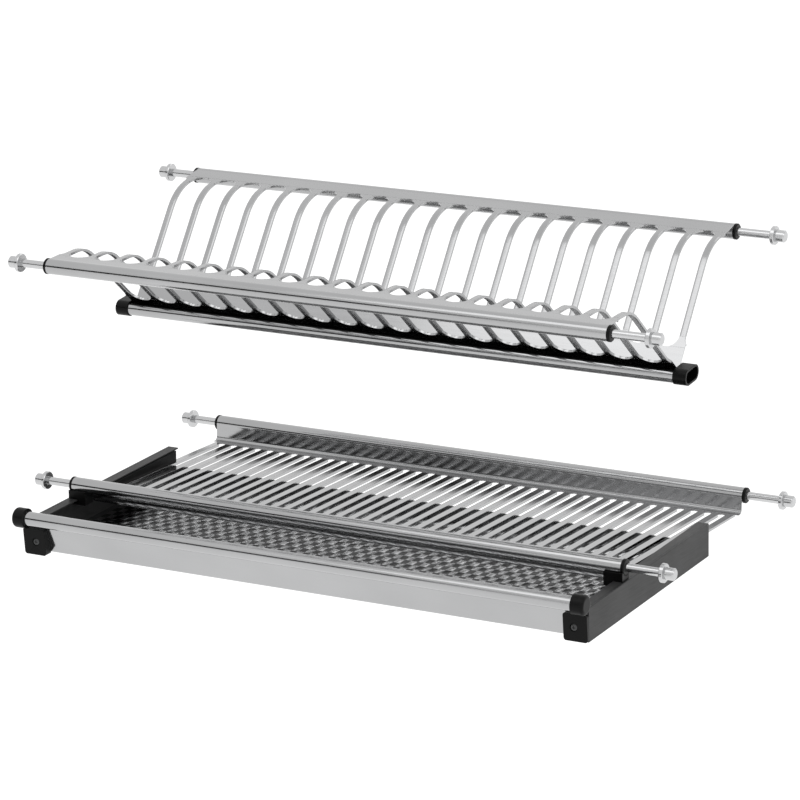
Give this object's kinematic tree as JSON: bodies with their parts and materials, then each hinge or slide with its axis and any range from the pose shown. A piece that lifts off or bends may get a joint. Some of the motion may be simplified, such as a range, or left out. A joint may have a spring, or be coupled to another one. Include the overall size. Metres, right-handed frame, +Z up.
{
  "type": "cabinet dish rack",
  "caption": "Dish rack for a wall cabinet: a pressed plate rack with a drip gutter, a slotted glass rack and a sliding drip tray, hung on side pins with springs.",
  "frame": {"origin": "on the axis of the plate rack's front rail, in the plane of the left cabinet side, where the left collar rests", "axes": "+X right along the rails, +Y to the back of the cabinet, +Z up"},
  "size_m": [0.687, 0.3859, 0.3249],
  "materials": {
    "pressed_steel": "polished stainless sheet, soft reflections",
    "turned_steel": "bright turned steel",
    "small_steel": "plain steel",
    "black_plastic": "fine satin, moulded",
    "grey_plastic": "satin, extruded"
  },
  "bodies": {
    "racks": {"plate_front_rail": "pressed_steel", "plate_front_roots": "pressed_steel", "plate_front_legs": "pressed_steel", "plate_front_foot_roots": "pressed_steel", "plate_front_foot": "pressed_steel", "plate_rear_foot": "pressed_steel", "plate_rear_foot_roots": "pressed_steel", "plate_rear_ribs": "pressed_steel", "plate_rear_roots": "pressed_steel", "plate_rear_rail": "pressed_steel", "gutter_shell": "pressed_steel", "gutter_liner": "black_plastic", "gutter_cap_left": "black_plastic", "gutter_cap_right": "black_plastic", "glass_front_rail": "pressed_steel", "glass_shelf": "pressed_steel", "glass_rear_rail": "pressed_steel", "left_bushes": "black_plastic", "right_bushes": "black_plastic", "left_rings": "small_steel", "spring_stops": "small_steel", "left_pin_plate_front": "turned_steel", "left_pin_plate_rear": "turned_steel", "left_pin_glass_front": "turned_steel", "left_pin_glass_rear": "turned_steel", "spring_plate_front": "small_steel", "spring_plate_rear": "small_steel", "spring_glass_front": "small_steel", "spring_glass_rear": "small_steel", "guide_left": "black_plastic", "guide_right": "black_plastic"},
    "drip_tray": {"tray_front": "pressed_steel", "tray_floor": "pressed_steel", "tray_rear_wall": "pressed_steel", "tray_side_left": "grey_plastic", "tray_side_right": "grey_plastic", "tray_corner_left": "black_plastic", "tray_corner_right": "black_plastic", "tray_knob_left": "black_plastic", "tray_knob_right": "black_plastic", "tray_screws": "small_steel"},
    "pin_plate_front": {"right_pin_plate_front": "turned_steel", "ring_plate_front": "small_steel"},
    "pin_plate_rear": {"right_pin_plate_rear": "turned_steel", "ring_plate_rear": "small_steel"},
    "pin_glass_front": {"right_pin_glass_front": "turned_steel", "ring_glass_front": "small_steel"},
    "pin_glass_rear": {"right_pin_glass_rear": "turned_steel", "ring_glass_rear": "small_steel"}
  },
  "joints": [
    {"name": "tray_slide", "type": "slide", "parent": "racks", "child": "drip_tray", "axis": [0, 0.9989, 0.0471], "range_m": [-0.125, 0.073]},
    {"name": "pin_press_plate_front", "type": "slide", "parent": "racks", "child": "pin_plate_front", "axis": [-1, 0, 0], "range_m": [0, 0.014], "stiffness_N_per_m": 1500, "springref_m": -0.006, "deforming": ["spring_plate_front"]},
    {"name": "pin_press_plate_rear", "type": "slide", "parent": "racks", "child": "pin_plate_rear", "axis": [-1, 0, 0], "range_m": [0, 0.014], "stiffness_N_per_m": 1500, "springref_m": -0.006, "deforming": ["spring_plate_rear"]},
    {"name": "pin_press_glass_front", "type": "slide", "parent": "racks", "child": "pin_glass_front", "axis": [-1, 0, 0], "range_m": [0, 0.014], "stiffness_N_per_m": 1500, "springref_m": -0.006, "deforming": ["spring_glass_front"]},
    {"name": "pin_press_glass_rear", "type": "slide", "parent": "racks", "child": "pin_glass_rear", "axis": [-1, 0, 0], "range_m": [0, 0.014], "stiffness_N_per_m": 1500, "springref_m": -0.006, "deforming": ["spring_glass_rear"]}
  ]
}
